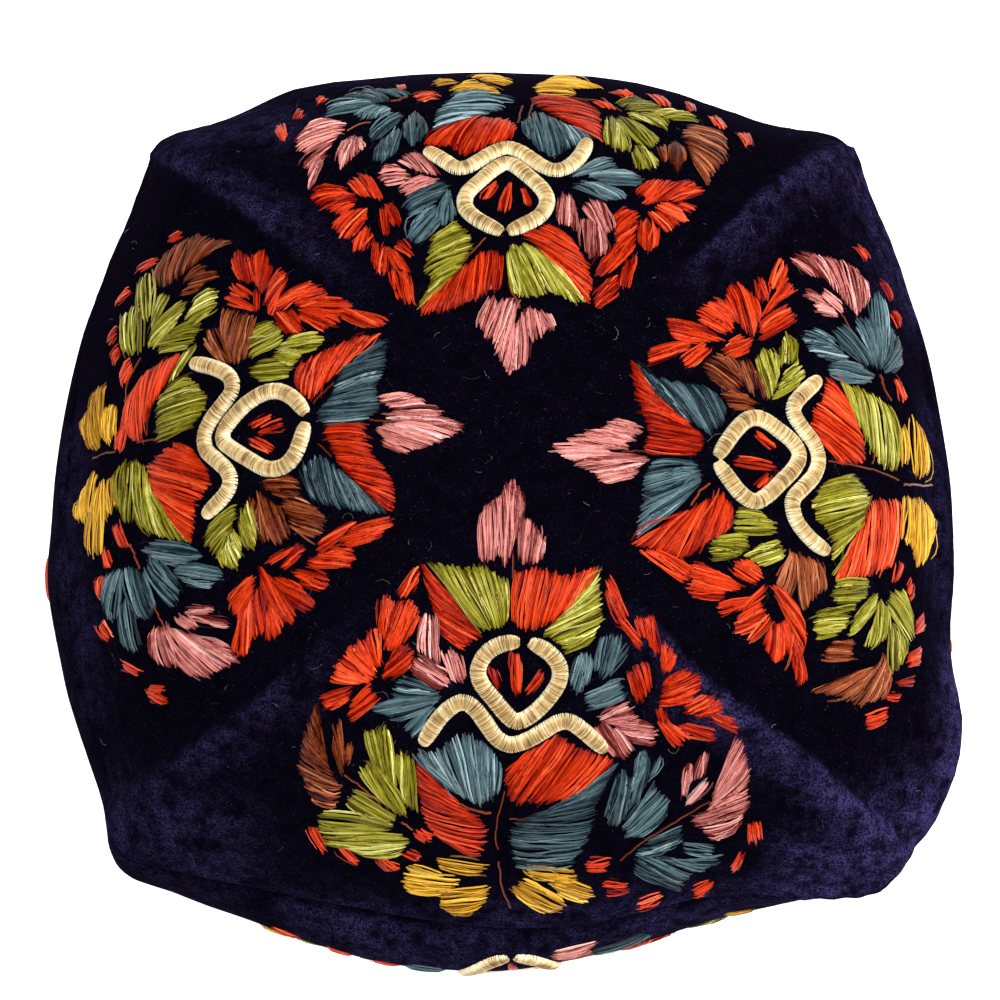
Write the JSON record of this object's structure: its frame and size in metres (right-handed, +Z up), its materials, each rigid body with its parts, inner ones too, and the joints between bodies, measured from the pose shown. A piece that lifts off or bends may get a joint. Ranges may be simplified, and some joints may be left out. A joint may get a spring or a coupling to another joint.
{
  "type": "tubeteika",
  "caption": "Soft velvet skullcap with a domed, rounded-square crown, an upright band, and silk leaf embroidery with couched cords, open below for a head.",
  "frame": {"origin": "middle of the cap's outline, on the surface that its hem stands on", "axes": "+Z up through the crown, -Y towards the front field of the embroidery, +X to the right of it"},
  "size_m": [0.1748, 0.177, 0.0878],
  "materials": {
    "velvet": "dark indigo pile with a violet sheen",
    "silk_cord": "cream silk wrapped over a cord",
    "poppy_silk": "glossy untwisted silk",
    "leaf_silk": "glossy untwisted silk",
    "slate_silk": "glossy untwisted silk",
    "rose_silk": "glossy untwisted silk",
    "russet_silk": "glossy untwisted silk",
    "saffron_silk": "glossy untwisted silk",
    "lint": "fine pale fibres"
  },
  "bodies": {
    "root": {"crown": "velvet", "band": "velvet", "ring_cord_front": "silk_cord", "wing_cord_front": "silk_cord", "band_ring_cord_front": "silk_cord", "ring_cord_right": "silk_cord", "wing_cord_right": "silk_cord", "band_ring_cord_right": "silk_cord", "ring_cord_back": "silk_cord", "wing_cord_back": "silk_cord", "band_ring_cord_back": "silk_cord", "ring_cord_left": "silk_cord", "wing_cord_left": "silk_cord", "band_ring_cord_left": "silk_cord"}
  },
  "joints": []
}
